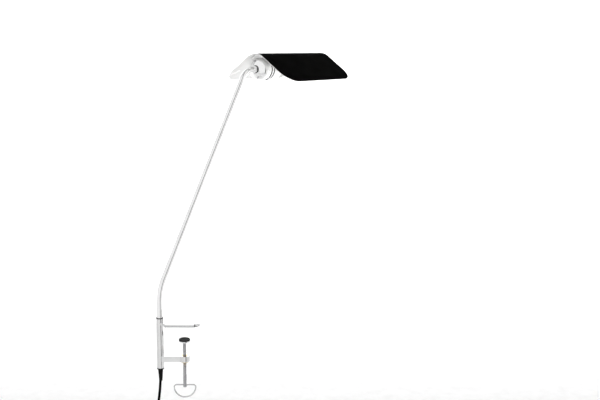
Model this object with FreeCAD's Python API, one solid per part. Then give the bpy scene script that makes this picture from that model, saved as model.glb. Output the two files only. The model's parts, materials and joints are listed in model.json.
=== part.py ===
"""Clamp-on desk lamp: a bent tube stem swivels in a desk clamp, and a folded sheet shade turns on its end.

Millimetres, +Z up. The origin is on the clamp screw's axis, on the underside of the top jaw's pad, which is the
plane of the desk top. +X runs from the stem into the desk. Each separate piece is written to parts/NAME.step.
"""

import FreeCAD, Part
import math
import os

Vector = FreeCAD.Vector
UP = Vector(0, 0, 1)
DOWN = Vector(0, 0, -1)
EAST = Vector(1, 0, 0)
NORTH = Vector(0, 1, 0)

# Stem
TUBE_R = 5.75              # outer radius of the stem tube
TUBE_WALL = 1.0
STEM_X = -49.0             # the stem's swivel axis, from the clamp screw's axis
BEND_Z = 72.5              # where the upright and the leaning runs would cross
AXIS_Z = 502.0             # height of the lampholder's axis
REACH = 275.0              # from the swivel axis to where the leaning and the level runs would cross
HEADING = 51.0             # degrees from +X to the lampholder's axis, seen from above
LOW_BEND_R = 80.0
HIGH_BEND_R = 42.0
STEM_END_Z = -58.0
LEAD_JOIN_Z = -88.0        # where the lead inside the stem meets the mains lead

# Clamp
SLEEVE_R = 7.5
SLEEVE_BORE = 6.5
SLEEVE_TOP = 14.0
SLEEVE_END = -90.0
PAD_T = 2.0
JAW_T = 5.0
JAW_WIDTH = 33.0
JAW_TIP = 33.0
JAW_TIP_R = 16.0
ARM_TOP = -64.0
ARM_T = 12.0
ARM_WIDTH = 14.0
BOSS_R = 10.5
DESK = 30.0                # desk thickness at which the screw is drawn
SCREW_R = 4.0
SCREW_END = -132.0
CROSS_HOLE_Z = -127.5
RING_WIRE_R = 1.5
RING_R = 21.7              # to the middle of the wire

# Head, measured along the lampholder's axis from the plane where its rear dome starts to close
HEAD = 317.0               # that plane, from the swivel axis
CAP_R = 24.5
CAP_WALL = 1.2
DOME_DEPTH = 14.0
CYLINDER_FROM = 5.7
REAR_RING = 21.0
RING_T = 2.4
BAND_T = 6.0
SLEEVE_LENGTH = 30.0
FRONT_R = 22.6

# Shade: one sheet folded along its ridge
SHADE_NEAR = -8.5
SHADE_LENGTH = 262.0
SHADE_HALF = 94.2
SHADE_DROP = 68.15
RIDGE_Z = 545.0            # where the outer faces of the two flanks would cross
SHEET_T = 1.2
FOLD_R = 34.8              # outer radius of the fold, which is round about the lampholder's axis
CORNER_R = 38.0

# Mains lead
CORD_R = 2.7
CORD_LENGTH = 1800.0
COIL_R = 31.0              # to the middle of the turns
COIL_HALF = 8.2            # half the width of the bundle of turns

heading = math.radians(HEADING)
ALONG = Vector(math.cos(heading), math.sin(heading), 0)
ACROSS = Vector(math.sin(heading), -math.cos(heading), 0)
STEM = Vector(STEM_X, 0, 0)
HEAD_POINT = STEM + ALONG * HEAD + UP * AXIS_Z

parts = {}


def turned(base, axis, side, profile):
    """Revolve a closed outline of (distance along axis, radius) pairs about the axis."""
    points = [base + axis * s + side * r for s, r in profile]
    outline = Part.makePolygon(points + points[:1])
    return Part.Face(outline).revolve(base, axis, 360)


def on_head(profile):
    return turned(HEAD_POINT, ALONG, UP, profile)


def upright(x, profile, y=0.0):
    """A turned piece on an upright axis; the profile's distances are heights."""
    return turned(Vector(x, y, 0), UP, EAST, profile)


def rod(start, end, radius):
    return Part.makeCylinder(radius, (end - start).Length, start, end - start)


def hollow(x, bottom, top, outer, inner):
    """A plain upright ring or sleeve."""
    return upright(x, [(bottom, inner), (bottom, outer), (top, outer), (top, inner)])


def local_box(origin, ax, ay, az, low, high):
    """A box between two corners given along three unit directions."""
    size = [h - l for l, h in zip(low, high)]
    base = origin + ax * low[0] + ay * low[1] + az * low[2]
    corners = [base, base + ax * size[0], base + ax * size[0] + ay * size[1], base + ay * size[1]]
    face = Part.Face(Part.makePolygon(corners + corners[:1]))
    return face.extrude(az * size[2])


def rounded_path(points, radii):
    """Straight runs joined by tangent arcs, one radius for each inner point."""
    edges = []
    at = points[0]
    for before, corner, after, radius in zip(points, points[1:], points[2:], radii):
        into = (corner - before).normalize()
        out = (after - corner).normalize()
        turn = into.getAngle(out)
        back = radius * math.tan(turn / 2)
        start = corner - into * back
        end = corner + out * back
        inward = (out - into).normalize()
        middle = corner + inward * (radius / math.cos(turn / 2) - radius)
        edges.append(Part.LineSegment(at, start).toShape())
        edges.append(Part.Arc(start, middle, end).toShape())
        at = end
    edges.append(Part.LineSegment(at, points[-1]).toShape())
    return Part.Wire(edges)


def swept(path, radius):
    """A round solid along a path."""
    start = path.Edges[0].valueAt(path.Edges[0].FirstParameter)
    tangent = path.Edges[0].tangentAt(path.Edges[0].FirstParameter)
    section = Part.Wire(Part.makeCircle(radius, start, tangent))
    return path.makePipeShell([section], True, False)


def cord_radii(points):
    """The largest even arc at each inner point: 0.45 of its shorter run over the tangent of half the turn."""
    radii = []
    for before, corner, after in zip(points, points[1:], points[2:]):
        into = corner - before
        out = after - corner
        half = into.getAngle(out) / 2
        radii.append(0.45 * min(into.Length, out.Length) / math.tan(half))
    return radii


def cord_tube(name, points):
    radii = cord_radii(points)
    path = rounded_path(points, radii)
    shape = swept(path, CORD_R)
    wanted = math.pi * CORD_R ** 2 * path.Length
    print(name, "radii", [round(r) for r in radii], "length", round(path.Length, 1),
          "volume ratio", round(shape.Volume / wanted, 4))
    parts[name] = shape
    return path.Length


# ---- stem ------------------------------------------------------------------------------------------------
stem_points = [
    STEM + UP * STEM_END_Z,
    STEM + UP * BEND_Z,
    STEM + ALONG * REACH + UP * AXIS_Z,
    HEAD_POINT + ALONG * 2.0,
]
stem_path = rounded_path(stem_points, [LOW_BEND_R, HIGH_BEND_R])
TUBE_BORE = TUBE_R - TUBE_WALL
parts["stem_tube"] = swept(stem_path, TUBE_R).cut(swept(stem_path, TUBE_BORE))

# A turned journal is pressed into the tube's foot. Its groove takes the grub screw's tip, and an uncut stretch
# of the groove stops the swivel before the lead inside can twist.
JOURNAL_FOOT = STEM_END_Z - 14.0
GROOVE_Z = STEM_END_Z - 7.0
GROOVE_R = 4.7
LEAD_BORE = 3.2
journal = upright(STEM_X, [
    (JOURNAL_FOOT, LEAD_BORE), (JOURNAL_FOOT, TUBE_R), (STEM_END_Z, TUBE_R), (STEM_END_Z, TUBE_BORE),
    (STEM_END_Z + 16, TUBE_BORE), (STEM_END_Z + 16, LEAD_BORE)])
groove = hollow(STEM_X, GROOVE_Z - 1.2, GROOVE_Z + 1.2, TUBE_R + 1, GROOVE_R)
stop = local_box(STEM, EAST, NORTH, UP, (3, -0.6, GROOVE_Z - 2), (TUBE_R + 2, 0.6, GROOVE_Z + 2))
parts["stem_journal"] = journal.cut(groove.cut(stop))

inner_points = [
    STEM + UP * LEAD_JOIN_Z,
    stem_points[1],
    stem_points[2],
    HEAD_POINT + ALONG * 12.0,
]
inner_path = rounded_path(inner_points, [LOW_BEND_R, HIGH_BEND_R])
parts["inner_lead"] = swept(inner_path, CORD_R)

# ---- clamp -----------------------------------------------------------------------------------------------
JAW_TOP = PAD_T + JAW_T


def jaw_outline(inset, bottom, top, start):
    """The top jaw's plan: square at the stem, two rounded corners at the tip."""
    block = local_box(Vector(), EAST, NORTH, UP,
                      (start, -JAW_WIDTH / 2 + inset, bottom), (JAW_TIP - inset, JAW_WIDTH / 2 - inset, top))
    corners = [e for e in block.Edges
               if abs(e.Vertexes[0].X - (JAW_TIP - inset)) < 0.01 and abs(e.tangentAt(0).z) > 0.99]
    return block.makeFillet(JAW_TIP_R - inset, corners)


sleeve = upright(STEM_X, [
    (SLEEVE_END, 0), (SLEEVE_END, SLEEVE_R), (SLEEVE_TOP, SLEEVE_R), (SLEEVE_TOP, 0)])
JAW_START = STEM_X + SLEEVE_R + 5.5
jaw = jaw_outline(0.0, PAD_T, JAW_TOP, JAW_START)
neck_points = [
    Vector(STEM_X, -SLEEVE_R + 0.6, PAD_T), Vector(JAW_START, -JAW_WIDTH / 2, PAD_T),
    Vector(JAW_START, JAW_WIDTH / 2, PAD_T), Vector(STEM_X, SLEEVE_R - 0.6, PAD_T)]
neck = Part.Face(Part.makePolygon(neck_points + neck_points[:1])).extrude(UP * JAW_T)
arm = local_box(Vector(), EAST, NORTH, UP,
                (STEM_X, -ARM_WIDTH / 2, ARM_TOP - ARM_T), (0, ARM_WIDTH / 2, ARM_TOP))
boss = rod(Vector(0, 0, ARM_TOP - ARM_T), Vector(0, 0, ARM_TOP), BOSS_R)
bracket = sleeve.fuse([jaw, neck, arm, boss]).removeSplitter()
INSERT_R = 7.0
bracket = bracket.cut(rod(STEM + UP * (SLEEVE_END - 1), STEM + UP * (SLEEVE_TOP + 1), SLEEVE_BORE))
bracket = bracket.cut(rod(Vector(0, 0, ARM_TOP - ARM_T - 1), Vector(0, 0, ARM_TOP + 1), INSERT_R))
GRUB_R = 2.0
grub_hole = rod(Vector(STEM_X, 0, GROOVE_Z), Vector(STEM_X - SLEEVE_R - 2, 0, GROOVE_Z), GRUB_R)
parts["clamp_bracket"] = bracket.cut(grub_hole)

parts["jaw_pad"] = jaw_outline(1.5, 0.0, PAD_T, STEM_X + SLEEVE_R + 3.0)

BUSH_CLEARANCE = 0.05
BUSH_R = SLEEVE_BORE - 0.02
parts["upper_bush"] = upright(STEM_X, [
    (-12, TUBE_R + BUSH_CLEARANCE), (-12, BUSH_R), (SLEEVE_TOP, BUSH_R), (SLEEVE_TOP, SLEEVE_R - 0.3),
    (SLEEVE_TOP + 1.2, SLEEVE_R - 0.3), (SLEEVE_TOP + 1.2, TUBE_R + BUSH_CLEARANCE)])
parts["lower_bush"] = hollow(STEM_X, STEM_END_Z + 4, STEM_END_Z + 22, BUSH_R, TUBE_R + BUSH_CLEARANCE)



def across_sleeve(outside, inside, radius):
    """A level rod through the sleeve's wall, between two distances from the swivel axis."""
    return rod(Vector(STEM_X - outside, 0, GROOVE_Z), Vector(STEM_X - inside, 0, GROOVE_Z), radius)


grub_body = across_sleeve(SLEEVE_R - 0.2, TUBE_R + 0.1, GRUB_R)
grub_tip = across_sleeve(TUBE_R + 0.1, GROOVE_R + 0.1, 1.0)
hex_socket = across_sleeve(SLEEVE_R, TUBE_R + 0.7, 1.1)
parts["grub_screw"] = grub_body.fuse(grub_tip).cut(hex_socket)

parts["thread_insert"] = upright(0, [
    (ARM_TOP - ARM_T - 1.5, SCREW_R + 0.05), (ARM_TOP - ARM_T - 1.5, 8.6), (ARM_TOP - ARM_T, 8.6),
    (ARM_TOP - ARM_T, INSERT_R), (ARM_TOP, INSERT_R), (ARM_TOP, SCREW_R + 0.05)])

# ---- clamp screw, its swivelling pad and its ring --------------------------------------------------------
RUBBER_T = 2.0
DISC_T = 5.0
DISC_R = 12.0
DISC_TOP = -DESK - RUBBER_T
DISC_FOOT = DISC_TOP - DISC_T
parts["pad_rubber"] = upright(0, [
    (DISC_TOP, 0), (DISC_TOP, DISC_R - 0.6), (-DESK - 0.6, DISC_R - 0.6), (-DESK, DISC_R - 1.2), (-DESK, 0)])
PIVOT_R = 2.8
PIVOT_TOP = DISC_TOP - 1.2
parts["pad_disc"] = upright(0, [
    (DISC_TOP, 0), (DISC_TOP, DISC_R), (DISC_TOP - 2.2, DISC_R), (DISC_FOOT, 6.5), (DISC_FOOT, PIVOT_R + 0.05),
    (PIVOT_TOP + 0.1, PIVOT_R + 0.05), (PIVOT_TOP + 0.1, 0)])
screw = upright(0, [
    (SCREW_END, 0), (SCREW_END, SCREW_R - 1), (SCREW_END + 1, SCREW_R), (DISC_FOOT - 1.3, SCREW_R),
    (DISC_FOOT - 0.3, SCREW_R - 1), (DISC_FOOT - 0.3, PIVOT_R), (PIVOT_TOP, PIVOT_R), (PIVOT_TOP, 0)])
cross_hole = rod(Vector(-9, 0, CROSS_HOLE_Z), Vector(9, 0, CROSS_HOLE_Z), RING_WIRE_R + 0.06)
parts["clamp_screw"] = screw.cut(cross_hole)

RING_CORNER = 4.7


def ring_path():
    """A D: a straight bar through the screw with two tight corners, and a half-round bow below it."""
    top = CROSS_HOLE_Z
    side_z = top - RING_CORNER
    left_corner = Vector(-RING_R + RING_CORNER, 0, top)
    right_corner = Vector(RING_R - RING_CORNER, 0, top)
    left = Vector(-RING_R, 0, side_z)
    right = Vector(RING_R, 0, side_z)
    lean = RING_CORNER * (1 - math.sqrt(0.5))
    return Part.Wire([
        Part.LineSegment(left_corner, right_corner).toShape(),
        Part.Arc(right_corner, Vector(RING_R - lean, 0, top - lean), right).toShape(),
        Part.Arc(right, Vector(0, 0, side_z - RING_R), left).toShape(),
        Part.Arc(left, Vector(-RING_R + lean, 0, top - lean), left_corner).toShape(),
    ])


loop = ring_path()
ring_section = Part.Wire(Part.makeCircle(RING_WIRE_R, loop.Edges[0].valueAt(0), EAST))
parts["ring_handle"] = loop.makePipeShell([ring_section], True, False)

# ---- head ------------------------------------------------------------------------------------------------


def dome(radius, depth, steps=10):
    """Points of a quarter ellipse from the flat round the stem to the cylinder's edge."""
    first = math.asin(9.0 / CAP_R)
    angles = [first + (math.pi / 2 - first) * i / steps for i in range(steps + 1)]
    return [(CYLINDER_FROM - depth * math.cos(a), radius * math.sin(a)) for a in angles]


outer_dome = dome(CAP_R, DOME_DEPTH)
inner_dome = dome(CAP_R - CAP_WALL, DOME_DEPTH - CAP_WALL)
BUSH_OUT = 7.6
parts["rear_cap"] = on_head(
    [(outer_dome[0][0], BUSH_OUT + 0.02)] + outer_dome + [(REAR_RING, CAP_R), (REAR_RING, CAP_R - CAP_WALL)]
    + inner_dome[::-1] + [(inner_dome[0][0], BUSH_OUT + 0.02)])

# The head turns on a nylon bush round the tube's end, between a collar outside and a clip inside.
parts["head_bush"] = on_head([
    (-9.3, TUBE_R + BUSH_CLEARANCE), (-9.3, 8.9), (-7.45, 8.9), (-7.45, BUSH_OUT), (-1, BUSH_OUT),
    (-1, TUBE_R + BUSH_CLEARANCE)])
parts["stem_collar"] = on_head([
    (-15.5, TUBE_R), (-15.5, 7.4), (-14.7, 8.2), (-10.2, 8.2), (-9.4, 7.6), (-9.4, TUBE_R)])
parts["retaining_clip"] = on_head([(-0.7, TUBE_R), (-0.7, 8.6), (0.5, 8.6), (0.5, TUBE_R)])

HOLDER_R = 18.55           # the lampholder's body, which the gaskets, the band and the sleeve sit round
RING_BORE = HOLDER_R + 0.05
GASKET_R = CAP_R + 0.6


def head_ring(start, thickness, radius):
    """A plain ring round the lampholder's body."""
    end = start + thickness
    return on_head([(start, RING_BORE), (start, radius), (end, radius), (end, RING_BORE)])


parts["rear_gasket"] = head_ring(REAR_RING, RING_T, GASKET_R)
BAND_FROM = REAR_RING + RING_T
BAND_TO = BAND_FROM + BAND_T
band = head_ring(BAND_FROM, BAND_T, CAP_R)

# Shade
slope = math.atan2(SHADE_DROP, SHADE_HALF)


def fold_face(s, offset, width):
    """The sheet's section at a distance s along the axis: two flanks joined by a round fold.

    offset is how far inside the outer surface the section's outer face lies, width its half span measured level.
    """
    origin = HEAD_POINT + ALONG * s
    ridge = RIDGE_Z - AXIS_Z

    def at(n, z):
        return origin + ACROSS * n + UP * z

    centre_z = ridge - FOLD_R / math.cos(slope)
    edges = []
    outline = []
    for radius in (FOLD_R - offset, FOLD_R - offset - SHEET_T):
        tangent_n = radius * math.sin(slope)
        tangent_z = centre_z + radius * math.cos(slope)
        run = (width - FOLD_R * math.sin(slope)) / math.cos(slope)
        end_n = tangent_n + run * math.cos(slope)
        end_z = tangent_z - run * math.sin(slope)
        outline.append([at(-end_n, end_z), at(-tangent_n, tangent_z), at(0, centre_z + radius),
                        at(tangent_n, tangent_z), at(end_n, end_z)])
    for a, b, c, d, e in outline:
        edges.append(Part.LineSegment(a, b).toShape())
        edges.append(Part.Arc(b, c, d).toShape())
        edges.append(Part.LineSegment(d, e).toShape())
    edges.append(Part.LineSegment(outline[0][0], outline[1][0]).toShape())
    edges.append(Part.LineSegment(outline[0][4], outline[1][4]).toShape())
    return Part.Face(Part.Wire(Part.__sortEdges__(edges)))


sheet = fold_face(SHADE_NEAR, 0.0, SHADE_HALF).extrude(ALONG * SHADE_LENGTH)
corner_edges = [e for e in sheet.Edges if e.Length < SHEET_T * 1.5]
parts["shade"] = sheet.makeFillet(CORNER_R, corner_edges)

# A saddle is spot-welded inside the fold, and the band between the two gaskets is screwed to it by a lug.
SADDLE_HALF = 25.0
SADDLE_NEAR = 9.0
SADDLE_FAR = 54.0
parts["shade_saddle"] = fold_face(SADDLE_NEAR, SHEET_T, SADDLE_HALF).extrude(ALONG * (SADDLE_FAR - SADDLE_NEAR))
LUG_HALF = 4.5
SADDLE_UNDER = RIDGE_Z - AXIS_Z - FOLD_R / math.cos(slope) + FOLD_R - 2 * SHEET_T
WASHER_TOP = SADDLE_UNDER - 0.3   # its edges meet the saddle's curved inside
WASHER_FOOT = WASHER_TOP - 1.6
WASHER_HALF = LUG_HALF - 0.8
lug = local_box(HEAD_POINT, ALONG, ACROSS, UP, (BAND_FROM, -LUG_HALF, CAP_R - 2), (BAND_TO, LUG_HALF, WASHER_FOOT))
parts["shade_band"] = band.fuse(lug).removeSplitter()
parts["lug_washer"] = local_box(HEAD_POINT, ALONG, ACROSS, UP,
                                (BAND_FROM, -WASHER_HALF, WASHER_FOOT), (BAND_TO, WASHER_HALF, WASHER_TOP))

parts["front_gasket"] = head_ring(BAND_TO, RING_T, GASKET_R)
FRONT_FROM = BAND_TO + RING_T
FRONT_TO = FRONT_FROM + SLEEVE_LENGTH
parts["front_sleeve"] = on_head([
    (FRONT_FROM, 18.65), (FRONT_FROM, FRONT_R), (FRONT_TO, FRONT_R), (FRONT_TO, FRONT_R - 1.2),
    (FRONT_FROM + 5, FRONT_R - 1.2), (FRONT_FROM + 5, 18.65)])

# Lampholder: an insulating body with a brass screw shell, a centre contact and a terminal block behind
HOLDER_FROM = 16.0
SHELL_R = 14.2
parts["lampholder_body"] = on_head([
    (HOLDER_FROM, 0), (HOLDER_FROM, HOLDER_R), (FRONT_TO - 2, HOLDER_R), (FRONT_TO - 2, SHELL_R + 0.6),
    (HOLDER_FROM + 6, SHELL_R + 0.6), (HOLDER_FROM + 6, 0)])
parts["screw_shell"] = on_head([
    (HOLDER_FROM + 9, SHELL_R), (HOLDER_FROM + 9, SHELL_R + 0.5), (FRONT_TO - 8, SHELL_R + 0.5),
    (FRONT_TO - 8, SHELL_R)])
parts["centre_contact"] = on_head([
    (HOLDER_FROM + 6, 0), (HOLDER_FROM + 6, 4), (HOLDER_FROM + 8.5, 3), (HOLDER_FROM + 8.5, 0)])
parts["terminal_block"] = local_box(HEAD_POINT, ALONG, ACROSS, UP, (12.4, -9, -7), (HOLDER_FROM, 9, 7))

# Two screws hold the rear cap to the holder's posts
CAP_SCREW_R = 19.0
CAP_SCREW_ANGLE = 16.0
CAP_SCREW_HEAD_R = 2.1
CAP_SCREW_SHANK_R = 1.4
cap_screws = []
for turn in (CAP_SCREW_ANGLE, CAP_SCREW_ANGLE + 180):
    a = math.radians(turn)
    spot = HEAD_POINT + UP * (CAP_SCREW_R * math.cos(a)) - ACROSS * (CAP_SCREW_R * math.sin(a))
    head = rod(spot - ALONG * 5.4, spot - ALONG * 2.2, CAP_SCREW_HEAD_R)
    shank = rod(spot - ALONG * 2.3, spot + ALONG * HOLDER_FROM, CAP_SCREW_SHANK_R)
    cap_screws.append(head.fuse(shank).removeSplitter())
    screw_hole = rod(spot - ALONG * 9, spot + ALONG * 6, CAP_SCREW_HEAD_R + 0.05)
    parts["rear_cap"] = parts["rear_cap"].cut(screw_hole)
parts["cap_screws"] = Part.makeCompound(cap_screws)

# Bulb: an opal globe lamp with a screw cap
BULB_R = 22.4
BULB_CENTRE = FRONT_TO + 17.0
NECK_R = 12.5
CAP_END = HOLDER_FROM + 11.0
SCREW_CAP_TO = FRONT_TO - 6.0
join = math.asin(NECK_R / BULB_R)
globe = [(BULB_CENTRE - BULB_R * math.cos(join + (math.pi - join) * i / 16),
          BULB_R * math.sin(join + (math.pi - join) * i / 16)) for i in range(17)]
parts["bulb_globe"] = on_head([(SCREW_CAP_TO, 0), (SCREW_CAP_TO, NECK_R)] + globe[:-1] + [(globe[-1][0], 0)])
parts["bulb_screw_cap"] = on_head([
    (CAP_END, 0), (CAP_END, 8), (CAP_END + 3, 13.2), (SCREW_CAP_TO, 13.2), (SCREW_CAP_TO, 0)])
parts["bulb_contact"] = on_head([(CAP_END - 2.4, 0), (CAP_END - 2.4, 3.4), (CAP_END, 4.4), (CAP_END, 0)])

# ---- mains lead, its gland, switch, coil and plug --------------------------------------------------------
GLAND_TIP = -118.0
gland = upright(STEM_X, [
    (GLAND_TIP, CORD_R), (GLAND_TIP, CORD_R + 0.7), (SLEEVE_END - 2.5, 5.4), (SLEEVE_END - 2.5, SLEEVE_R - 0.2),
    (SLEEVE_END, SLEEVE_R - 0.2), (SLEEVE_END, SLEEVE_BORE - 0.02), (SLEEVE_END + 9, SLEEVE_BORE - 0.02),
    (SLEEVE_END + 9, CORD_R + 0.3), (LEAD_JOIN_Z - 0.2, CORD_R + 0.3), (LEAD_JOIN_Z - 0.2, CORD_R)])
parts["cord_gland"] = gland

SWITCH_TILT = math.radians(8.0)
SWITCH_AXIS = Vector(-math.sin(SWITCH_TILT), 0, -math.cos(SWITCH_TILT))
SWITCH_SIDE = Vector(-math.cos(SWITCH_TILT), 0, math.sin(SWITCH_TILT))
SWITCH_TOP = Vector(STEM_X - 8.2, 0, -184)
SWITCH_LENGTH = 52.0
SWITCH_END = SWITCH_TOP + SWITCH_AXIS * SWITCH_LENGTH
COIL_CENTRE = Vector(STEM_X + 6.0, 0, -292)
COIL_LEFT = COIL_CENTRE - EAST * COIL_R
PLUG_TOP = COIL_LEFT + Vector(0, 0, -50)

upper = cord_tube("cord_upper", [
    Vector(STEM_X, 0, LEAD_JOIN_Z - 0.3), Vector(STEM_X, 0, -125.5), SWITCH_TOP])
lower = cord_tube("cord_lower", [
    SWITCH_END, SWITCH_END + SWITCH_AXIS * 16, COIL_LEFT + UP * 20, COIL_LEFT])
tail = cord_tube("cord_tail", [
    COIL_LEFT, COIL_LEFT + Vector(-1.5, -1, -14), COIL_LEFT + Vector(-1.0, 0, -32), PLUG_TOP])
loose = upper + lower + tail + SWITCH_LENGTH
print("length in the coil", round(CORD_LENGTH - loose), "turns",
      round((CORD_LENGTH - loose) / (2 * math.pi * COIL_R), 2))

section_points = [COIL_LEFT + EAST * (COIL_HALF * math.cos(math.radians(a)))
                  + NORTH * (COIL_HALF * math.sin(math.radians(a))) for a in range(0, 360, 45)]
section = Part.Face(Part.makePolygon(section_points + section_points[:1]))
parts["cord_coil"] = section.revolve(COIL_CENTRE, NORTH, 360)

# A tie round the bundle, near the top of the coil
TIE_ANGLE = math.radians(38.0)
tie_direction = Vector(-math.sin(TIE_ANGLE), 0, math.cos(TIE_ANGLE))
tie_along = Vector(-math.cos(TIE_ANGLE), 0, -math.sin(TIE_ANGLE))
tie_middle = COIL_CENTRE + tie_direction * COIL_R
TIE_OUT = COIL_HALF + 1.3
tie = local_box(tie_middle, tie_along, NORTH, tie_direction, (-4, -TIE_OUT, -TIE_OUT), (4, TIE_OUT, TIE_OUT))
parts["coil_tie"] = tie.makeFillet(3.0, [e for e in tie.Edges if abs(e.tangentAt(0).dot(tie_along)) > 0.99]).cut(
    parts["cord_coil"])

# In-line switch: two halves held by two screws, with a rocker on the front
SWITCH_HALF_W = 12.5
SWITCH_HALF_T = 8.0
ROCKER_LOW = 16.0
ROCKER_HIGH = 36.0
ROCKER_HALF_W = 5.5


def switch_shell(near, far):
    shell = local_box(SWITCH_TOP, SWITCH_AXIS, SWITCH_SIDE, NORTH,
                      (0, -SWITCH_HALF_W, near), (SWITCH_LENGTH, SWITCH_HALF_W, far))
    ends = [e for e in shell.Edges if abs(e.tangentAt(0).y) > 0.99]
    return shell.makeFillet(8.0, ends)


lead_channel = rod(SWITCH_TOP - SWITCH_AXIS, SWITCH_END + SWITCH_AXIS, CORD_R + 0.05)
cavity = local_box(SWITCH_TOP, SWITCH_AXIS, SWITCH_SIDE, NORTH,
                   (12, -SWITCH_HALF_W + 4, -SWITCH_HALF_T + 1.8), (SWITCH_LENGTH - 12, SWITCH_HALF_W - 4, 6.2))
window = local_box(SWITCH_TOP, SWITCH_AXIS, SWITCH_SIDE, NORTH,
                   (ROCKER_LOW, -ROCKER_HALF_W, -SWITCH_HALF_T - 1), (ROCKER_HIGH, ROCKER_HALF_W, 0))
front = switch_shell(-SWITCH_HALF_T, 0.0).cut(lead_channel).cut(cavity).cut(window)
back = switch_shell(0.0, SWITCH_HALF_T).cut(lead_channel).cut(cavity)
SWITCH_SCREW_IN = 7.5      # from each end
SWITCH_SCREW_SIDE = 8.0
SWITCH_SCREW_HEAD_R = 2.4
SWITCH_SCREW_SHANK_R = 1.2
switch_screws = []
for s, side in ((SWITCH_SCREW_IN, 1), (SWITCH_LENGTH - SWITCH_SCREW_IN, -1)):
    spot = SWITCH_TOP + SWITCH_AXIS * s + SWITCH_SIDE * (side * SWITCH_SCREW_SIDE)
    head = rod(spot + NORTH * (SWITCH_HALF_T - 1.6), spot + NORTH * (SWITCH_HALF_T - 0.2), SWITCH_SCREW_HEAD_R)
    shank = rod(spot - NORTH * 5, spot + NORTH * (SWITCH_HALF_T - 1.5), SWITCH_SCREW_SHANK_R)
    screw_shape = head.fuse(shank).removeSplitter()
    switch_screws.append(screw_shape)
    front = front.cut(screw_shape)
    back = back.cut(screw_shape).cut(
        rod(spot + NORTH * (SWITCH_HALF_T - 0.3), spot + NORTH * (SWITCH_HALF_T + 1), SWITCH_SCREW_HEAD_R))
parts["switch_front"] = front
parts["switch_back"] = back
parts["switch_screws"] = Part.makeCompound(switch_screws)

ROCKER_GAP = 0.35
ROCKER_PIVOT = SWITCH_TOP + SWITCH_AXIS * ((ROCKER_LOW + ROCKER_HIGH) / 2) - NORTH * (SWITCH_HALF_T - 2.0)
half = (ROCKER_HIGH - ROCKER_LOW) / 2 - ROCKER_GAP
rocker_points = [ROCKER_PIVOT + SWITCH_AXIS * s + NORTH * y for s, y in (
    (-half + 0.5, 2.2), (-half, -2.4), (0, -3.2), (half, -2.4), (half - 0.5, 2.2))]
rocker = Part.Face(Part.makePolygon(rocker_points + rocker_points[:1])).extrude(
    SWITCH_SIDE * (2 * (ROCKER_HALF_W - ROCKER_GAP)))
rocker.translate(SWITCH_SIDE * -(ROCKER_HALF_W - ROCKER_GAP))
parts["switch_rocker"] = rocker

# Two-pin plug, hanging below the coil
PLUG_LENGTH = 34.0
PLUG_HALF_T = 6.5
PLUG_HALF_W = 12.0
RELIEF_LENGTH = 12.0
plug = local_box(PLUG_TOP, EAST, NORTH, DOWN,
                 (-PLUG_HALF_T, -PLUG_HALF_W, RELIEF_LENGTH), (PLUG_HALF_T, PLUG_HALF_W, PLUG_LENGTH))
plug = plug.makeFillet(4.0, [e for e in plug.Edges if abs(e.tangentAt(0).z) > 0.99])
relief = turned(PLUG_TOP, DOWN, EAST, [(0, 0), (0, 3.6), (RELIEF_LENGTH, 5.6), (RELIEF_LENGTH, 0)])
parts["plug_body"] = plug.fuse(relief).removeSplitter()
PIN_HALF_SPACING = 8.6
PIN_LENGTH = 19.0
PIN_R = 2.0
parts["plug_pins"] = Part.makeCompound([
    rod(PLUG_TOP + NORTH * (side * PIN_HALF_SPACING) + DOWN * PLUG_LENGTH,
        PLUG_TOP + NORTH * (side * PIN_HALF_SPACING) + DOWN * (PLUG_LENGTH + PIN_LENGTH), PIN_R)
    for side in (-1, 1)])

os.makedirs("parts", exist_ok=True)
for name, shape in parts.items():
    if not shape.isValid():
        print("INVALID", name)
    shape.exportStep(os.path.join("parts", name + ".step"))
print(len(parts), "nodes")
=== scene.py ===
import json
import math
import bmesh
import bpy
import numpy as np
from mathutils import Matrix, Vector


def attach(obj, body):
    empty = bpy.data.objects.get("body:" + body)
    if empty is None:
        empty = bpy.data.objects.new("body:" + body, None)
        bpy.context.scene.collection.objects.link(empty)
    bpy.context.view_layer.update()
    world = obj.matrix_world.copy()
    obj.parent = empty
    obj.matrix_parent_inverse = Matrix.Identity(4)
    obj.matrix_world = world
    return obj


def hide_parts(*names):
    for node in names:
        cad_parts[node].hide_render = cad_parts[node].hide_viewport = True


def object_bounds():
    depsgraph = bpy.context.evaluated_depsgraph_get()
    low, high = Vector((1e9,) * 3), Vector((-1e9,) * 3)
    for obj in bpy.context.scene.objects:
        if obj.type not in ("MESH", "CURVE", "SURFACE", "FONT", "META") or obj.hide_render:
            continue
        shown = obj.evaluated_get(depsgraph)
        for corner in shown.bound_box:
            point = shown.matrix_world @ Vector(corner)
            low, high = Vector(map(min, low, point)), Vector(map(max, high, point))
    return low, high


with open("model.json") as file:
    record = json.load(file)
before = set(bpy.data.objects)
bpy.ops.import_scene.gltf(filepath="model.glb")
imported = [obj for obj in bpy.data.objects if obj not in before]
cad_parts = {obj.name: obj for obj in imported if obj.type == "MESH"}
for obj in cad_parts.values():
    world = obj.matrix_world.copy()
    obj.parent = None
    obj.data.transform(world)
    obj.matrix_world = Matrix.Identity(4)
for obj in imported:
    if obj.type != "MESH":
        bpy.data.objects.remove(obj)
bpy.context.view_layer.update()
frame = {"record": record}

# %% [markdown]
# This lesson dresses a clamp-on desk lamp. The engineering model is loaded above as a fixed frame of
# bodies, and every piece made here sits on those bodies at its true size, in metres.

MM = 0.001
joints = {j["name"]: j for j in frame["record"]["behaviour"]["joints"]}
STEM_X = joints["stem_swivel"]["pos_m"][0]
HEAD = np.array(joints["head_turn"]["pos_m"])
ALONG = np.array(joints["head_turn"]["axis"])
ALONG = ALONG / np.linalg.norm(ALONG)
UP = np.array([0.0, 0.0, 1.0])
EAST = np.array([1.0, 0.0, 0.0])
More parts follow.
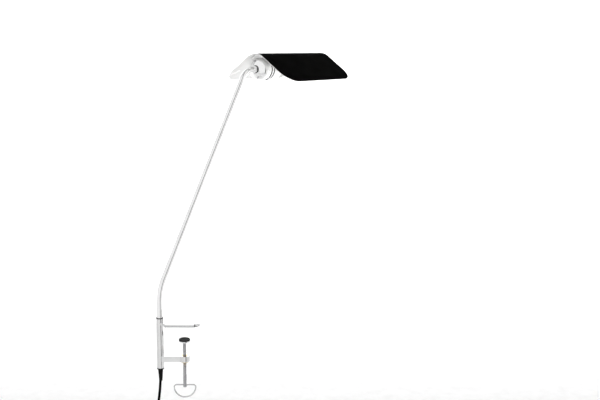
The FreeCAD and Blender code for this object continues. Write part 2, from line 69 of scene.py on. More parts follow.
NORTH = np.array([0.0, 1.0, 0.0])
ACROSS = np.cross(ALONG, UP)
print("head at", HEAD.round(3), "pointing", ALONG.round(3))

# %% [markdown]
# The camera stands in front of the lamp, a little above the lampholder and to the right of the clamp, and
# looks slightly down. It isn't turned sideways: a small shift of the lens puts the lamp at the left of the
# frame.

# %% Camera
CAMERA_PLACE = (0.112, -1.496, 0.547)
PITCH = 9.71
FOCAL_PER_WIDTH = 1.3
camera_data = bpy.data.cameras.new("camera")
camera_data.sensor_width = 36.0
camera_data.lens = camera_data.sensor_width * FOCAL_PER_WIDTH
camera_data.shift_x = 0.1
camera_data.shift_y = -0.03
camera = bpy.data.objects.new("camera", camera_data)
camera.location = CAMERA_PLACE
camera.rotation_euler = (math.radians(90.0 - PITCH), 0.0, 0.0)
bpy.context.scene.collection.objects.link(camera)
bpy.context.scene.camera = camera
print("camera lens", camera_data.lens, "mm")

# %% [markdown]
# Every finish is a small node tree. A finish reads Object coordinates, so its pattern is fixed to the piece
# at its real scale. Noise moves the roughness a little, as handling does, and a fine bump gives the grain.

# %% A helper for finishes


def finish(name, colour, metallic=0.0, rough=(0.3, 0.4), grain=600.0, bump=0.0, **sockets):
    """A finish whose roughness wanders between two values, with a bump of given depth and grains per metre."""
    material = bpy.data.materials.new(name)
    material.use_nodes = True
    nodes = material.node_tree.nodes
    links = material.node_tree.links
    shader = nodes["Principled BSDF"]
    place = nodes.new("ShaderNodeTexCoord")
    wander = nodes.new("ShaderNodeTexNoise")
    wander.inputs["Scale"].default_value = 35.0
    wander.inputs["Detail"].default_value = 4.0
    links.new(place.outputs["Object"], wander.inputs["Vector"])
    span = nodes.new("ShaderNodeMapRange")
    span.inputs["From Min"].default_value = 0.3
    span.inputs["From Max"].default_value = 0.7
    span.inputs["To Min"].default_value = rough[0]
    span.inputs["To Max"].default_value = rough[1]
    links.new(wander.outputs["Fac"], span.inputs["Value"])
    links.new(span.outputs["Result"], shader.inputs["Roughness"])
    tint = nodes.new("ShaderNodeValToRGB")
    dark = [c * 0.93 for c in colour]
    tint.color_ramp.elements[0].position = 0.3
    tint.color_ramp.elements[0].color = (*dark, 1.0)
    tint.color_ramp.elements[1].position = 0.7
    tint.color_ramp.elements[1].color = (*colour, 1.0)
    links.new(wander.outputs["Fac"], tint.inputs["Fac"])
    links.new(tint.outputs["Color"], shader.inputs["Base Color"])
    shader.inputs["Metallic"].default_value = metallic
    if bump:
        fine = nodes.new("ShaderNodeTexNoise")
        fine.inputs["Scale"].default_value = grain
        fine.inputs["Detail"].default_value = 3.0
        raised = nodes.new("ShaderNodeBump")
        raised.inputs["Strength"].default_value = 0.35
        raised.inputs["Distance"].default_value = bump
        links.new(place.outputs["Object"], fine.inputs["Vector"])
        links.new(fine.outputs["Fac"], raised.inputs["Height"])
        links.new(raised.outputs["Normal"], shader.inputs["Normal"])
    for socket, value in sockets.items():
        shader.inputs[socket.replace("_", " ")].default_value = value
    return material


# %% [markdown]
# Polished plate covers the stem, the clamp and the lampholder, so their look comes from what they mirror.
# The shade is powder coated: matt black outside, with a fine orange-peel grain, and gloss white enamel
# inside.

# %% The finishes
plate = finish("polished_plate", (0.94, 0.94, 0.94), 1.0, (0.02, 0.05))
clamp_plate = finish("clamp_plate", (0.8, 0.8, 0.8), 1.0, (0.08, 0.14))
holder_plate = finish("holder_plate", (0.95, 0.95, 0.95), 1.0, (0.05, 0.1))
wire_plate = finish("wire_plate", (0.58, 0.58, 0.58), 1.0, (0.16, 0.24))
turned_steel = finish("turned_steel", (0.55, 0.55, 0.56), 1.0, (0.22, 0.34), 900.0, 0.00002)
bright_brass = finish("bright_brass", (0.8, 0.6, 0.27), 1.0, (0.18, 0.3))
powder_black = finish("powder_black", (0.0007, 0.0007, 0.0007), 0.0, (0.55, 0.65), 1800.0, 0.00003,
                      Specular_IOR_Level=0.002)
enamel_white = finish("enamel_white", (0.86, 0.86, 0.85), 0.0, (0.2, 0.28), 700.0, 0.00001,
                      Coat_Weight=0.3, Coat_Roughness=0.1)
black_rubber = finish("black_rubber", (0.006, 0.006, 0.006), 0.0, (0.6, 0.75), 1500.0, 0.00004,
                      Specular_IOR_Level=0.1)
nylon_black = finish("nylon_black", (0.02, 0.02, 0.02), 0.0, (0.4, 0.5), 1200.0, 0.00002,
                     Specular_IOR_Level=0.3)
moulding_black = finish("moulding_black", (0.014, 0.014, 0.014), 0.0, (0.38, 0.5), 2200.0, 0.00004,
                        Specular_IOR_Level=0.35)
rocker_black = finish("rocker_black", (0.03, 0.03, 0.031), 0.0, (0.22, 0.3))
lead_sheath = finish("lead_sheath", (0.002, 0.002, 0.002), 0.0, (0.4, 0.5), 1400.0, 0.00002,
                     Specular_IOR_Level=0.01)
white_body = finish("white_body", (0.82, 0.81, 0.78), 0.0, (0.25, 0.35), 400.0, 0.00002)
opal_glass = finish("opal_glass", (0.93, 0.93, 0.91), 0.0, (0.12, 0.2), 300.0, 0.0,
                    Subsurface_Weight=0.3, Subsurface_Radius=(0.004, 0.004, 0.004))
print(len(bpy.data.materials), "finishes")

# %% [markdown]
# Most pieces here are turned on a lathe or carried along a path. Both are grids: one parameter runs along
# the outline or the path, the other goes round. Whole arrays are worked out at once and handed to the mesh.

# %% Helpers for closed meshes
SHARP_ANGLE = 35.0


def face_outwards(mesh):
    """Merge doubled points, then turn the faces if the enclosed volume comes out negative."""
    work = bmesh.new()
    work.from_mesh(mesh)
    bmesh.ops.remove_doubles(work, verts=work.verts, dist=1e-7)
    bmesh.ops.dissolve_degenerate(work, edges=work.edges, dist=1e-8)
    if work.calc_volume(signed=True) < 0:
        bmesh.ops.reverse_faces(work, faces=work.faces)
    work.to_mesh(mesh)
    work.free()


def add_piece(name, points, faces, materials, body, replaces=(), kinds=None):
    """Put vertices and faces into a smooth, closed mesh, and ride it on a body in place of its CAD nodes."""
    mesh = bpy.data.meshes.new(name)
    mesh.from_pydata(np.asarray(points).tolist(), [], [tuple(f) for f in faces])
    mesh.update()
    for material in materials:
        mesh.materials.append(material)
    if kinds is not None:
        mesh.polygons.foreach_set("material_index", kinds)
    mesh.polygons.foreach_set("use_smooth", np.ones(len(mesh.polygons), dtype=bool))
    face_outwards(mesh)
    mesh.set_sharp_from_angle(angle=math.radians(SHARP_ANGLE))
    piece = bpy.data.objects.new(name, mesh)
    bpy.context.scene.collection.objects.link(piece)
    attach(piece, body)
    if replaces:
        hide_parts(*replaces)
    return piece


def ring_faces(rows, columns, closed_rows=False):
    """Quads of a grid whose columns close round, and whose rows close too when asked."""
    last = rows if closed_rows else rows - 1
    i = np.arange(last)[:, None]
    j = np.arange(columns)[None, :]
    down = (i + 1) % rows
    right = (j + 1) % columns
    quads = np.stack([i * columns + j, i * columns + right, down * columns + right, down * columns + j], -1)
    return quads.reshape(-1, 4).tolist()


# %% [markdown]
# A turned piece starts as an outline of a few corners. Real edges are never knife sharp, because the tool
# breaks them, so each corner is first rounded by a short curve, and then the outline is carried round the
# axis.

# %% Helpers for turned pieces


def softened(profile, radius=0.3, steps=3):
    """Round each corner of a closed outline by a short curve, cut back by radius or a third of the side."""
    corners = np.array(profile, dtype=float)
    before = np.roll(corners, 1, axis=0) - corners
    after = np.roll(corners, -1, axis=0) - corners
    points = []
    for corner, a, b in zip(corners, before, after):
        la = np.linalg.norm(a)
        lb = np.linalg.norm(b)
        cosine = np.dot(a, b) / (la * lb)
        if cosine < -0.94:
            points.append(corner)
            continue
        cut = min(radius, la / 3, lb / 3)
        start = corner + a / la * cut
        end = corner + b / lb * cut
        for t in np.linspace(0.0, 1.0, steps + 1):
            points.append((1 - t) ** 2 * start + 2 * t * (1 - t) * corner + t ** 2 * end)
    return np.array(points)


def lathe(name, base, axis, side, profile, material, body, replaces=(), turns=96, radius=0.3):
    """Carry a closed outline of (distance along the axis, radius) points in mm round the axis."""
    outline = softened(profile, radius)
    other = np.cross(axis, side)
    angle = np.linspace(0, 2 * np.pi, turns, endpoint=False)
    spin = np.cos(angle)[None, :, None] * side + np.sin(angle)[None, :, None] * other
    points = base + MM * (outline[:, 0, None, None] * axis + outline[:, 1, None, None] * spin)
    faces = ring_faces(len(outline), turns, closed_rows=True)
    return add_piece(name, points.reshape(-1, 3), faces, [material], body, replaces)


# %% [markdown]
# Bent wire and tube are drawn straight and then bent round formers. A ring of points follows the middle
# line, and its two side directions are carried forward with no twist, so that the surface lies as evenly as
# drawn metal.

# %% Helpers for bent pieces


def frames_along(path):
    """Tangents, and two side vectors carried along a path with the least twist."""
    tangent = np.gradient(path, axis=0)
    tangent = tangent / np.linalg.norm(tangent, axis=1, keepdims=True)
    side = np.cross(tangent[0], NORTH)
    if np.linalg.norm(side) < 0.1:
        side = np.cross(tangent[0], EAST)
    sides = []
    for t in tangent:
        side = side - np.dot(side, t) * t
        side = side / np.linalg.norm(side)
        sides.append(side)
    sides = np.array(sides)
    return tangent, sides, np.cross(tangent, sides)


def round_bar(name, path, radius, material, body, replaces=(), turns=32, closed=False):
    """A round solid along a path of points in metres, with flat ends unless the path closes."""
    tangent, one, two = frames_along(path)
    if closed:
        tangent = np.roll(path, -1, axis=0) - np.roll(path, 1, axis=0)
        tangent = tangent / np.linalg.norm(tangent, axis=1, keepdims=True)
        two = np.tile(NORTH, (len(path), 1))
        one = np.cross(two, tangent)
    angle = np.linspace(0, 2 * np.pi, turns, endpoint=False)
    ring = np.cos(angle)[None, :, None] * one[:, None, :] + np.sin(angle)[None, :, None] * two[:, None, :]
    points = (path[:, None, :] + radius * ring).reshape(-1, 3)
    faces = ring_faces(len(path), turns, closed_rows=closed)
    if not closed:
        faces.append(list(range(turns))[::-1])
        faces.append([(len(path) - 1) * turns + k for k in range(turns)])
    return add_piece(name, points, faces, [material], body, replaces)


def bent_line(corners, radii, spacing=0.002):
    """Straight runs joined by tangent arcs: each arc is a function of its turn, sampled evenly."""
    points = [corners[0]]
    for before, corner, after, radius in zip(corners, corners[1:], corners[2:], radii):
        into = (corner - before) / np.linalg.norm(corner - before)
        out = (after - corner) / np.linalg.norm(after - corner)
        turn = math.acos(float(np.dot(into, out)))
        back = radius * math.tan(turn / 2)
        inward = out - into * np.dot(into, out)
        inward = inward / np.linalg.norm(inward)
        angle = np.linspace(0, turn, max(8, int(radius * turn / spacing)))[:, None]
        arc = corner - into * back + radius * (np.sin(angle) * into + (1 - np.cos(angle)) * inward)
        points.extend(arc)
    points.append(corners[-1])
    return np.array(points)


# %% [markdown]
# The mains lead leaves the foot of the clamp through a tapered relief, hangs down to an in-line switch, and
# its spare length is wound into a tied coil with the plug below it. It is one smooth NURBS line with a
# round section, because a sheath is a fixed length of something flexible, not a chain of straight pieces.

# %% The lead's route
LEAD_R = 2.7 * MM
COIL_R = 31.0
SWITCH_TILT = math.radians(8.0)
SWITCH_AXIS = np.array([-math.sin(SWITCH_TILT), 0.0, -math.cos(SWITCH_TILT)])
SWITCH_TOP = np.array([STEM_X / MM - 8.2, 0.0, -184.0])
SWITCH_END = SWITCH_TOP + 52.0 * SWITCH_AXIS
COIL_CENTRE = np.array([STEM_X / MM + 6.0, 0.0, -292.0])
COIL_LEFT = COIL_CENTRE - COIL_R * EAST
PLUG_TOP = COIL_LEFT + np.array([0.0, 0.0, -50.0])

# Each turn's place in the bundle, as steps from its middle and degrees round it: a packed ring round one turn
SLOT_STEP = 5.6
SLOT_PLACES = [(1, 30), (1, 90), (1, 150), (1.73, 180), (1, 210), (0, 0), (1, 270), (1, 330)]
slots = np.array([(SLOT_STEP * r * math.cos(math.radians(a)), -SLOT_STEP * r * math.sin(math.radians(a)))
                  for r, a in SLOT_PLACES])
POINTS_A_TURN = 14
SPLINE_PULL = 0.5 + 0.5 * math.cos(math.pi / POINTS_A_TURN) ** 2


def coil_points():
    """Each turn runs at its own place in the bundle and slips to the next place in its last third."""
    steps = np.arange(len(slots) * POINTS_A_TURN + 1)
    angle = steps * 2 * np.pi / POINTS_A_TURN
    turn = np.minimum(steps // POINTS_A_TURN, len(slots) - 1)
    after = np.minimum(turn + 1, len(slots) - 1)
    part = steps / POINTS_A_TURN - turn
    slip = np.clip((part - 0.66) / 0.34, 0, 1) * (turn < len(slots) - 1)
    slip = slip * slip * (3 - 2 * slip)
    place = slots[turn] * (1 - slip[:, None]) + slots[after] * slip[:, None]
    radius = (COIL_R + place[:, 0]) / SPLINE_PULL
    return COIL_CENTRE + np.stack([-radius * np.cos(angle), place[:, 1], -radius * np.sin(angle)], axis=1)


turns_of_lead = coil_points()
entry_shift = turns_of_lead[0] - COIL_LEFT
route = [
    np.array([STEM_X / MM, 0, -88.3]),
    np.array([STEM_X / MM, 0, -125.5]),
    SWITCH_TOP,
    SWITCH_END,
    SWITCH_END + 16 * SWITCH_AXIS,
    COIL_LEFT + 20 * UP + 0.8 * entry_shift,
]
route += list(turns_of_lead)
route += [
    COIL_LEFT + np.array([-4.0, 1.5, -16]),
    COIL_LEFT + np.array([-1.5, 0, -33]),
    PLUG_TOP + 3 * UP,
    PLUG_TOP,
]
route = np.array(route) * MM

# %% [markdown]
# The sheath is extruded plastic over stranded copper, so it takes bends as one smooth line. The route's
# points are the control points of a NURBS line, and a round section follows it.

# %% The lead itself
lead_curve = bpy.data.curves.new("mains_lead", "CURVE")
lead_curve.dimensions = "3D"
line = lead_curve.splines.new("NURBS")
line.points.add(len(route) - 1)
line.points.foreach_set("co", np.c_[route, np.ones(len(route))].ravel())
line.order_u = 3
line.use_endpoint_u = True
line.resolution_u = 5
lead_curve.bevel_depth = LEAD_R
lead_curve.bevel_resolution = 5
lead_curve.use_fill_caps = True
lead_curve.materials.append(lead_sheath)
lead = bpy.data.objects.new("mains_lead", lead_curve)
bpy.context.scene.collection.objects.link(lead)
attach(lead, "clamp")
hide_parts("cord_upper", "cord_lower", "cord_tail", "cord_coil")

# %% [markdown]
# The coil is held by a flat strap. Its section is a thin rounded slab, carried round a rounded square that
# hugs the bundle, so it looks like a real tie and not like a block.

# %% The strap round the coil
TIE_ANGLE = math.radians(38.0)
tie_out = np.array([-math.sin(TIE_ANGLE), 0.0, math.cos(TIE_ANGLE)])
tie_along = np.array([-math.cos(TIE_ANGLE), 0.0, -math.sin(TIE_ANGLE)])
tie_middle = COIL_CENTRE + tie_out * (COIL_R - 1.4)
a = np.linspace(0, 2 * np.pi, 64, endpoint=False)
squareness = 0.72
LOOP_OUT = 10.6
LOOP_ACROSS = 9.9
STRAP_HALF_T = 0.45
STRAP_HALF_W = 4.0
STRAP_FLAT = 3.6
loop_out = LOOP_OUT * np.sign(np.cos(a)) * np.abs(np.cos(a)) ** squareness
loop_across = LOOP_ACROSS * np.sign(np.sin(a)) * np.abs(np.sin(a)) ** squareness
strap_section = np.array([(-STRAP_FLAT, -STRAP_HALF_T), (STRAP_FLAT, -STRAP_HALF_T), (STRAP_HALF_W, 0),
                          (STRAP_FLAT, STRAP_HALF_T), (-STRAP_FLAT, STRAP_HALF_T), (-STRAP_HALF_W, 0)])
grow = 1 + strap_section[None, :, 1] / 10
strap = (tie_middle + strap_section[None, :, 0, None] * tie_along
         + (loop_out[:, None] * grow)[..., None] * tie_out + (loop_across[:, None] * grow)[..., None] * NORTH)
strap_piece = add_piece("coil_strap", strap.reshape(-1, 3) * MM, ring_faces(64, 6, True), [nylon_black],
                        "clamp", ["coil_tie"])
print("strap", len(strap_piece.data.vertices), "points")

# %% [markdown]
# The relief is a tapered rubber sleeve with ribs, so the lead bends slowly where it leaves the clamp.

# %% The ribbed relief
RELIEF_TOP = -92.5
RELIEF_TIP = -118.0
RIB_DEPTH = 0.35
RIBS = 6
height = np.linspace(RELIEF_TOP, RELIEF_TIP, 61)
share = (RELIEF_TOP - height) / (RELIEF_TOP - RELIEF_TIP)
rib = RIB_DEPTH * (np.sin(share * 2 * np.pi * RIBS) > 0.2) * (share > 0.12)
relief_profile = [(RELIEF_TIP, 2.75), *zip(height[::-1], (5.4 - 1.9 * share - rib)[::-1]),
                  (RELIEF_TOP, 7.2), (-90.0, 7.2), (-90.0, 2.75)]
relief = lathe("lead_relief", np.array([STEM_X, 0, 0]), UP, EAST, relief_profile, black_rubber, "clamp",
               ["cord_gland"], turns=48, radius=0.15)

# %% [markdown]
# The stem is one drawn tube with two bends made on a bending former. Its centre line is straight runs
# joined by tangent arcs, and a ring of points is carried along it, so the mirror finish has no facets to
# show.

# %% The stem
BEND_Z = 72.5 * MM
REACH = 275.0 * MM
STEM_END = -58.0 * MM
LOW_BEND_R = 80.0 * MM
HIGH_BEND_R = 42.0 * MM
TUBE_R = 5.75 * MM
head_flat = np.array([ALONG[0], ALONG[1], 0.0])
stem_foot = np.array([STEM_X, 0, 0])
stem_line = bent_line([
    stem_foot + UP * STEM_END,
    stem_foot + UP * BEND_Z,
    stem_foot + head_flat * REACH + UP * HEAD[2],
    HEAD + head_flat * 2 * MM,
], [LOW_BEND_R, HIGH_BEND_R])
tube = round_bar("stem", stem_line, TUBE_R, plate, "stem", ["stem_tube"], turns=64)
print("stem line", round(float(np.linalg.norm(np.diff(stem_line, axis=0), axis=1).sum()), 3), "m")

# %% [markdown]
# The lampholder is a stack of turned pieces on one axis: a pressed cap with a domed back, two black gaskets
# with the shade's band between them, and a plain sleeve in front. Each is an outline carried round the
# axis.

# %% The lampholder's outside
DOME_DEPTH = 14.0
CAP_R = 24.5
CAP_WALL = 1.2
CYLINDER_FROM = 5.7
CAP_BORE = 7.7
FLAT_R = 9.0
REAR_EDGE = 21.0
RING_BORE = 18.6
GASKET_R = CAP_R + 0.6
GASKET_T = 2.4
BAND_T = 6.0
SLEEVE_R = 22.6
SLEEVE_LENGTH = 30.0


def quarter(radius, depth, count=24):
    """A quarter ellipse from the flat round the stem out to the cylinder's edge."""
    first = math.asin(FLAT_R / CAP_R)
    t = np.linspace(first, np.pi / 2, count)
    return list(zip(CYLINDER_FROM - depth * np.cos(t), radius * np.sin(t)))


def on_head(name, profile, material, replaces, radius=0.3, turns=128):
    """A turned piece on the lampholder's axis."""
    piece = lathe(name, HEAD, ALONG, UP, profile, material, "head", replaces, turns, radius)
    return piece


outer = quarter(CAP_R, DOME_DEPTH)
inner = quarter(CAP_R - CAP_WALL, DOME_DEPTH - CAP_WALL)
on_head("rear_dome", [(outer[0][0], CAP_BORE)] + outer + [(REAR_EDGE, CAP_R), (REAR_EDGE, CAP_R - CAP_WALL)]
        + inner[::-1] + [(inner[0][0], CAP_BORE)], holder_plate, ["rear_cap"])
GASKETS = {"rear_gasket": REAR_EDGE, "front_gasket": REAR_EDGE + GASKET_T + BAND_T}
for node, start in GASKETS.items():
    end = start + GASKET_T
    on_head("seal_" + node, [(start, RING_BORE), (start, GASKET_R), (end, GASKET_R), (end, RING_BORE)],
            black_rubber, [node], radius=0.5)
FRONT = GASKETS["front_gasket"] + GASKET_T
SLEEVE_TO = FRONT + SLEEVE_LENGTH
STEP = FRONT + 5.0
on_head("holder_sleeve", [(FRONT, RING_BORE + 0.05), (FRONT, SLEEVE_R), (SLEEVE_TO, SLEEVE_R),
        (SLEEVE_TO, SLEEVE_R - CAP_WALL), (STEP, SLEEVE_R - CAP_WALL), (STEP, RING_BORE + 0.05)],
        holder_plate, ["front_sleeve"])
print("lampholder from", round(outer[0][0], 1), "to", SLEEVE_TO, "mm")
collar = lathe("collar", HEAD, ALONG, UP, [(-15.5, 5.8), (-15.5, 7.4), (-14.7, 8.2), (-10.2, 8.2),
               (-9.4, 7.6), (-9.4, 5.8)], plate, "stem", ["stem_collar"], radius=0.4)

# %% [markdown]
# The shade is one flat sheet with round corners, folded over a ridge. A grid over the flat sheet is folded
# by a function: a point near the middle goes round an arc, and a point further out runs straight down its
# flank. The sheet is closed, black outside and white inside, and its cut edge is white too.

# %% The folded shade
SHADE_NEAR = -8.5
SHADE_LENGTH = 262.0
SHADE_HALF = 94.2
SHADE_DROP = 68.15
RIDGE = 43.0
SHEET_T = 1.2
FOLD_R = 34.8
CORNER_R = 38.0
slope = math.atan2(SHADE_DROP, SHADE_HALF)
fold_arc = FOLD_R * slope
flank_run = (SHADE_HALF - FOLD_R * math.sin(slope)) / math.cos(slope)
HALF_FLAT = fold_arc + flank_run


def fold(along, flat, depth):
    """Flat distance from the ridge to a place on the folded sheet, depth below its outer face."""
    turn = np.clip(np.abs(flat) / FOLD_R, 0, slope)
    beyond = np.maximum(np.abs(flat) - fold_arc, 0)
    radius = FOLD_R - depth
    across = np.sign(flat) * (radius * np.sin(turn) + beyond * np.cos(slope))
    height = RIDGE - FOLD_R / math.cos(slope) + radius * np.cos(turn) - beyond * np.sin(slope)
    return HEAD + MM * (along[..., None] * ALONG + across[..., None] * ACROSS + height[..., None] * UP)


corner_steps = CORNER_R * (1 - np.cos(np.linspace(0, np.pi / 2, 14)))
middle_steps = np.linspace(CORNER_R, SHADE_LENGTH - CORNER_R, 22)[1:-1]
length_steps = np.concatenate([corner_steps, middle_steps, (SHADE_LENGTH - corner_steps)[::-1]])
near_end = np.minimum(length_steps, SHADE_LENGTH - length_steps)
short = np.maximum(CORNER_R - near_end, 0)
half_width = HALF_FLAT - CORNER_R + np.sqrt(CORNER_R ** 2 - short ** 2)
arc_part = np.linspace(-fold_arc, fold_arc, 33)
flank_share = np.linspace(0, 1, 18)[1:]
flank_flat = fold_arc + flank_share[None, :] * (half_width[:, None] - fold_arc)
flat_grid = np.hstack([-flank_flat[:, ::-1], np.tile(arc_part, (len(length_steps), 1)), flank_flat])
along_grid = np.repeat((SHADE_NEAR + length_steps)[:, None], flat_grid.shape[1], axis=1)
rows, columns = flat_grid.shape
outer_face = fold(along_grid, flat_grid, 0.0).reshape(-1, 3)
inner_face = fold(along_grid, flat_grid, SHEET_T).reshape(-1, 3)
number = np.arange(rows * columns).reshape(rows, columns)
top_quads = np.stack([number[:-1, :-1], number[1:, :-1], number[1:, 1:], number[:-1, 1:]], -1).reshape(-1, 4)
border = np.concatenate([number[0, :-1], number[:-1, -1], number[-1, :0:-1], number[:0:-1, 0]])
ahead = np.roll(border, -1)
wall = np.stack([border, ahead, ahead + rows * columns, border + rows * columns], -1)
shade_faces = np.vstack([top_quads, top_quads[:, ::-1] + rows * columns, wall])
kinds = np.concatenate([np.zeros(len(top_quads)), np.ones(len(top_quads) + len(wall))]).astype(int)
shade = add_piece("shade_sheet", np.vstack([outer_face, inner_face]), shade_faces.tolist(),
                  [powder_black, enamel_white], "head", ["shade"], kinds)
print("shade sheet", len(shade.data.polygons), "faces")

# %% [markdown]
# The clamp screw has a real thread. Its radius is a function of height and angle: a triangle wave of one
# pitch, which climbs one pitch in each turn, and fades out at both ends.

# %% The clamp screw
PITCH_MM = 1.25
SCREW_R = 4.0
SCREW_LOW = -132.0
SCREW_HIGH = -37.3
SCREW_COLUMNS = 40
THREAD_DEPTH = 0.65
PIVOT_R = 2.8
PIVOT_HIGH = -33.2


def threaded(low, high, radius, columns, samples=8):
    """r(z, a) = radius - depth * wave(z / pitch - a / 2 pi), a thread that fades out near both ends."""
    z = np.linspace(low, high, int((high - low) / PITCH_MM * samples))
    angle = np.linspace(0, 2 * np.pi, columns, endpoint=False)
    phase = z[:, None] / PITCH_MM - angle[None, :] / (2 * np.pi)
    wave = np.abs((phase % 1) * 2 - 1)
    fade = np.clip(np.minimum(z - low - 1.0, high - 1.0 - z) / 1.5, 0, 1)[:, None]
    end = 0.8 * np.clip(1 - (z - low), 0, 1)[:, None]
    r = radius - THREAD_DEPTH * wave * fade - end
    return np.stack([r * np.cos(angle), r * np.sin(angle), np.repeat(z[:, None], columns, axis=1)], -1)


screw_grid = threaded(SCREW_LOW, SCREW_HIGH, SCREW_R, SCREW_COLUMNS)
screw_rows = len(screw_grid)
round_angle = np.linspace(0, 2 * np.pi, SCREW_COLUMNS, endpoint=False)
pivot = PIVOT_R * np.stack([np.cos(round_angle), np.sin(round_angle)], -1)
pivot_rings = np.array([np.c_[pivot, np.full(SCREW_COLUMNS, z)] for z in (SCREW_HIGH, PIVOT_HIGH)])
screw_points = np.vstack([screw_grid.reshape(-1, 3), pivot_rings.reshape(-1, 3)]) * MM
screw_faces = ring_faces(screw_rows + 2, SCREW_COLUMNS)
screw_faces.append(list(range(SCREW_COLUMNS))[::-1])
screw_faces.append([(screw_rows + 1) * SCREW_COLUMNS + k for k in range(SCREW_COLUMNS)])
screw = add_piece("threaded_screw", screw_points, screw_faces, [turned_steel], "screw", ["clamp_screw"])
print("screw", screw_rows, "rings of points")

# %% [markdown]
# The ring is one bent wire: a straight bar through the screw's cross hole and a half-round bow below it.

# %% The ring
WIRE_R = 1.5
BOW_R = 21.7
BAR_Z = -127.5
TIGHT = 4.7
bow = np.linspace(0, np.pi, 61)
corner = np.linspace(0, np.pi / 2, 9)
bar = np.linspace(-(BOW_R - TIGHT), BOW_R - TIGHT, 25)[1:-1]
ring_x = np.concatenate([bar, BOW_R - TIGHT + TIGHT * np.sin(corner), (BOW_R * np.cos(bow))[1:-1],
                         -(BOW_R - TIGHT) - TIGHT * np.cos(corner)])
ring_z = np.concatenate([0 * bar, TIGHT * np.cos(corner) - TIGHT, (-BOW_R * np.sin(bow) - TIGHT)[1:-1],
                         TIGHT * np.sin(corner) - TIGHT])
ring_path = np.stack([ring_x, 0 * ring_x, ring_z + BAR_Z], -1) * MM
ring = round_bar("ring", ring_path, WIRE_R * MM, wire_plate, "ring", ["ring_handle"], turns=20, closed=True)
print("ring", len(ring_path), "points along the wire")

# %% [markdown]
# The remaining CAD pieces have the right shape already, so they only take their finishes.

# %% Finishes on the carried-over pieces
finish_of_node = {
    "clamp_bracket": clamp_plate, "jaw_pad": black_rubber, "upper_bush": nylon_black,
    "lower_bush": nylon_black, "grub_screw": turned_steel, "thread_insert": bright_brass,
    "pad_disc": clamp_plate, "pad_rubber": black_rubber,
    "stem_journal": turned_steel, "inner_lead": lead_sheath, "retaining_clip": turned_steel,
    "head_bush": nylon_black, "shade_saddle": enamel_white, "shade_band": holder_plate,
    "lug_washer": black_rubber, "lampholder_body": white_body, "screw_shell": bright_brass,
    "centre_contact": bright_brass, "terminal_block": white_body, "cap_screws": turned_steel,
    "bulb_globe": opal_glass, "bulb_screw_cap": turned_steel, "bulb_contact": bright_brass,
    "switch_front": moulding_black, "switch_back": moulding_black, "switch_screws": turned_steel,
    "switch_rocker": rocker_black, "plug_body": moulding_black, "plug_pins": bright_brass,
}
for node, material in finish_of_node.items():
    piece = bpy.data.objects[node]
    piece.data.materials.clear()
    piece.data.materials.append(material)
print(len(finish_of_node), "CAD pieces finished")

# %% [markdown]
# The stage is a white sweep: a level floor well below the clamp that curves up into a wall behind the lamp,
# as in a product studio. It is a profile of floor, quarter circle and wall, drawn out sideways, so no seam
# shows.

# %% The white sweep
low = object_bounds()[0]
SWEEP_HALF = 9.0
SWEEP_FRONT = -0.7
SWEEP_BACK = 3.6
SWEEP_R = 2.0
SWEEP_HIGH = 6.0
SWEEP_FLOOR = low.z - 0.06
quarter_turn = np.linspace(0, np.pi / 2, 25)
sweep_y = np.concatenate([[SWEEP_FRONT], SWEEP_BACK - SWEEP_R + SWEEP_R * np.sin(quarter_turn), [SWEEP_BACK]])
sweep_z = SWEEP_FLOOR + np.concatenate([[0], SWEEP_R - SWEEP_R * np.cos(quarter_turn), [SWEEP_HIGH]])
sweep_points = [(x, y, z) for x in (-SWEEP_HALF, SWEEP_HALF) for y, z in zip(sweep_y, sweep_z)]
count = len(sweep_y)
sweep_mesh = bpy.data.meshes.new("sweep")
sweep_mesh.from_pydata(sweep_points, [], [(k, k + count, k + count + 1, k + 1) for k in range(count - 1)])
sweep_mesh.polygons.foreach_set("use_smooth", np.ones(count - 1, dtype=bool))
sweep_paint = finish("sweep_paint", (0.97, 0.97, 0.97), 0.0, (0.85, 0.95), Specular_IOR_Level=0.0)
sweep_mesh.materials.append(sweep_paint)
sweep = bpy.data.objects.new("sweep", sweep_mesh)
bpy.context.scene.collection.objects.link(sweep)

# %% [markdown]
# The light is a bright white room. Its light is a function of direction alone: white nearly everywhere,
# with a dark upright flag on the front side, a paler one at each hand, and a greyer ceiling and ground. The
# flags are what a polished tube needs to look like metal, because a mirror in an all-white room has no
# shape.

# %% The room's light
world = bpy.data.worlds.new("studio")
bpy.context.scene.world = world
world.use_nodes = True
world_nodes = world.node_tree.nodes
world_links = world.node_tree.links
background = world_nodes["Background"]
ROOM_LIGHT = 0.93
# Each flag's bearing and half width in degrees, and the share of light that it takes away
FLAGS = [(34.0, 11.0, 0.9), (96.0, 9.0, 0.6), (-100.0, 8.0, 0.4)]


def sky_math(kind, a, b=0.0):
    """One arithmetic node of the studio's light, from two numbers or sockets."""
    node = world_nodes.new("ShaderNodeMath")
    node.operation = kind
    for socket, value in zip(node.inputs, (a, b)):
        if isinstance(value, (int, float)):
            socket.default_value = value
        else:
            world_links.new(value, socket)
    return node.outputs[0]


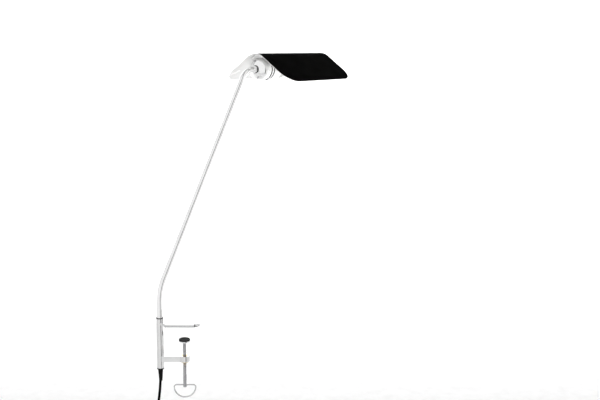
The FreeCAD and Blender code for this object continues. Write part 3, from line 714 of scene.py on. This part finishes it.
def soft_step(value, start, end):
    """0 before start, 1 after end, smooth between."""
    node = world_nodes.new("ShaderNodeMapRange")
    node.interpolation_type = "SMOOTHSTEP"
    world_links.new(value, node.inputs["Value"])
    node.inputs["From Min"].default_value = start
    node.inputs["From Max"].default_value = end
    return node.outputs["Result"]


def flag(bearing_deg, half_deg, darkness):
    """A dark upright strip of the room: its share of light, from its bearing and half width in degrees."""
    off = sky_math("ABSOLUTE", sky_math("SUBTRACT", bearing, math.radians(bearing_deg)))
    edge = soft_step(off, math.radians(half_deg * 0.7), math.radians(half_deg))
    return sky_math("SUBTRACT", 1.0, sky_math("MULTIPLY", sky_math("SUBTRACT", 1.0, edge), darkness))


direction = world_nodes.new("ShaderNodeTexCoord").outputs["Generated"]
split = world_nodes.new("ShaderNodeSeparateXYZ")
world_links.new(direction, split.inputs[0])
bearing = sky_math("ARCTAN2", split.outputs["X"], sky_math("MULTIPLY", split.outputs["Y"], -1.0))
ceiling = soft_step(split.outputs["Z"], 0.8, 0.92)
below = soft_step(sky_math("MULTIPLY", split.outputs["Z"], -1.0), 0.3, 0.75)
room = sky_math("SUBTRACT", 1.0, sky_math("MULTIPLY", sky_math("ADD", ceiling, below), 0.3))
for place, half, darkness in FLAGS:
    room = sky_math("MULTIPLY", room, flag(place, half, darkness))
world_links.new(sky_math("MULTIPLY", room, ROOM_LIGHT), background.inputs["Strength"])
background.inputs["Color"].default_value = (1.0, 1.0, 1.0, 1.0)

# %% [markdown]
# One wide soft lamp hangs above the lamp and faces the sweep, so that the wall and floor behind come out
# white. Its spread is narrowed, so that little of it falls on the lamp itself.

# %% The wash on the sweep
wash_data = bpy.data.lights.new("sweep_wash", "AREA")
wash_data.shape = "RECTANGLE"
wash_data.size = 7.0
wash_data.size_y = 1.5
wash_data.energy = 150.0
wash_data.spread = math.radians(110.0)
WASH_PLACE = Vector((0.3, 0.9, 3.0))
WASH_TARGET = Vector((0.3, 3.6, 0.6))
wash = bpy.data.objects.new("sweep_wash", wash_data)
wash.location = WASH_PLACE
wash.rotation_euler = (WASH_TARGET - WASH_PLACE).to_track_quat("-Z", "Y").to_euler()
bpy.context.scene.collection.objects.link(wash)
bpy.context.scene.view_settings.view_transform = "Standard"
print("wash", wash_data.energy, "W")
